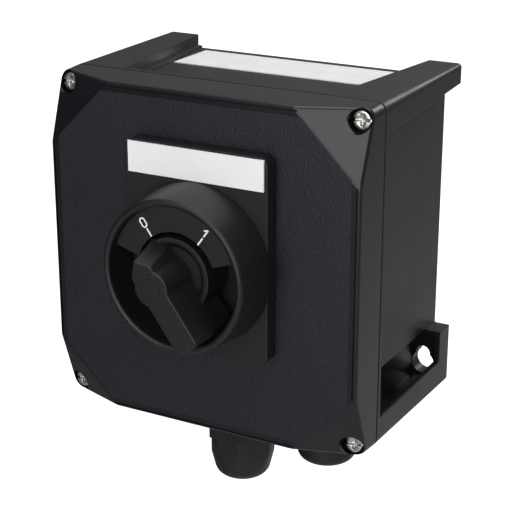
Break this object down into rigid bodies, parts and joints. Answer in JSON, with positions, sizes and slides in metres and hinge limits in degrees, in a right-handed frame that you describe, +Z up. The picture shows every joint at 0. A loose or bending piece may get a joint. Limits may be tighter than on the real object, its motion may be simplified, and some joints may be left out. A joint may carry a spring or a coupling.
{
  "type": "rotary isolator switch",
  "caption": "Black square wall-mounted enclosure with a guarded rotary off/on handle, white marking strip, screwed cover, cable gland and blanking plug below.",
  "frame": {"origin": "centre of the back face of the enclosure, where it lies on the wall", "axes": "+X to the right seen from the front, +Y from the front panel towards the wall, +Z up; the handle faces -Y"},
  "size_m": [0.168, 0.1602, 0.2156],
  "materials": {
    "moulded_body": "semi-gloss black moulded polyester",
    "moulded_cover": "black moulded polyester, grained panel and smooth corners",
    "handle_plastic": "satin black polyamide",
    "seal_rubber": "matt black rubber",
    "screw_steel": "bright stainless steel",
    "plated_plate": "zinc plated steel sheet",
    "brass": "plain brass",
    "white_label": "white printed film",
    "light_plastic": "light grey thermoplastic",
    "dark_plastic": "dark grey thermoplastic",
    "red_plastic": "red thermoplastic"
  },
  "bodies": {
    "enclosure": {"base_enclosure": "moulded_body", "cover_inserts": "brass", "wall_inserts": "brass", "cover_gasket": "seal_rubber", "type_label": "white_label", "mounting_plate": "plated_plate", "mounting_screws": "screw_steel", "switch_foot": "light_plastic", "contact_decks": "light_plastic", "latch_housing": "light_plastic", "bearing_plate": "dark_plastic", "stack_screws": "screw_steel", "fixed_contacts": "brass", "terminal_clamps": "screw_steel", "terminal_screws": "screw_steel", "earth_bar": "brass", "earth_screws": "screw_steel", "gland_gasket": "seal_rubber", "gland_body": "moulded_body", "gland_seal": "seal_rubber", "gland_locknut": "moulded_body", "plug_gasket": "seal_rubber", "plug_body": "moulded_body", "plug_locknut": "moulded_body"},
    "cover_unit": {"cover": "moulded_cover", "cover_screws": "screw_steel", "screw_seals": "seal_rubber", "handle_plate": "handle_plastic", "plate_gasket": "seal_rubber", "plate_screws": "screw_steel", "marking_strip": "white_label", "guard_ring": "handle_plastic", "dial_scale": "handle_plastic", "dial_marks": "white_label", "spindle_bush": "light_plastic", "spindle_seal": "seal_rubber"},
    "handle": {"rotary_handle": "handle_plastic", "handle_screw": "screw_steel", "handle_cap": "handle_plastic", "spindle": "screw_steel"},
    "rotor": {"cam_rotor": "red_plastic"},
    "contacts_left": {"carriers_left": "light_plastic", "bridges_left": "brass", "springs_left": "screw_steel"},
    "contacts_right": {"carriers_right": "light_plastic", "bridges_right": "brass", "springs_right": "screw_steel"},
    "gland_nut": {"gland_nut": "moulded_body"}
  },
  "joints": [
    {"name": "cover_lift", "type": "slide", "parent": "enclosure", "child": "cover_unit", "axis": [0, -1, 0], "range_m": [0, 0.06]},
    {"name": "handle_turn", "type": "hinge", "parent": "cover_unit", "child": "handle", "pos_m": [0.003, -0.14, 0.005], "axis": [0, 1, 0], "range_deg": [0, 72]},
    {"name": "rotor_turn", "type": "hinge", "parent": "enclosure", "child": "rotor", "pos_m": [0.003, -0.05, 0.005], "axis": [0, 1, 0], "range_deg": [0, 72]},
    {"name": "left_contact_travel", "type": "slide", "parent": "enclosure", "child": "contacts_left", "axis": [1, 0, 0], "range_m": [0, 0.004]},
    {"name": "right_contact_travel", "type": "slide", "parent": "enclosure", "child": "contacts_right", "axis": [-1, 0, 0], "range_m": [0, 0.004]},
    {"name": "gland_nut_turn", "type": "hinge", "parent": "enclosure", "child": "gland_nut", "pos_m": [-0.003, -0.066, -0.118], "axis": [0, 0, 1], "continuous": true}
  ],
  "couplings": [
    {"joint": "rotor_turn", "follows": "handle_turn", "ratio": 1},
    {"joint": "left_contact_travel", "follows": "handle_turn", "m_per_rad": 0.0031828},
    {"joint": "right_contact_travel", "follows": "handle_turn", "m_per_rad": 0.0031828}
  ]
}
